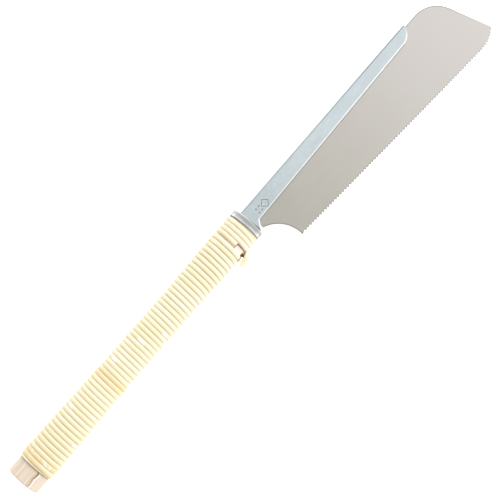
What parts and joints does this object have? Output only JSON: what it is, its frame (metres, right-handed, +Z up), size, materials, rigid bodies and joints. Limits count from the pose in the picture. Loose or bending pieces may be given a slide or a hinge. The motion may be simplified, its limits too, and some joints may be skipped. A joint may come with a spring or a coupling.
{
  "type": "pull saw",
  "caption": "Pull saw with a thin toothed blade hooked into a folded steel back, a steel ferrule and an oval wooden handle bound with cane.",
  "frame": {"origin": "centre of the bounding box, on the ground that the saw lies on", "axes": "+X along the handle towards the toe, teeth towards -Y, +Z up through the blade's flat face"},
  "size_m": [0.5534, 0.0728, 0.0265],
  "materials": {
    "handle_wood": "bare sanded softwood",
    "cane": "peeled cane, satin",
    "blade_steel": "fine satin, warm grey",
    "back_steel": "zinc-plated sheet, cool grey",
    "ferrule_steel": "drawn sheet, satin",
    "plain_steel": "plain mild steel, hidden"
  },
  "bodies": {
    "handle": {"handle_upper_half": "handle_wood", "handle_lower_half": "handle_wood", "ferrule": "ferrule_steel", "back_channel": "back_steel", "tang_spacer": "plain_steel", "tang_rivet_front": "plain_steel", "tang_rivet_rear": "plain_steel", "hook_pin": "plain_steel", "cane_front_winding": "cane", "cane_main_winding": "cane", "cane_tail": "cane"},
    "blade": {"saw_blade": "blade_steel"}
  },
  "joints": [
    {"name": "blade_swing", "type": "hinge", "parent": "handle", "child": "blade", "pos_m": [0.0165, 0.01908, 0.01325], "axis": [0, 0, -1], "range_deg": [0, 20]}
  ]
}
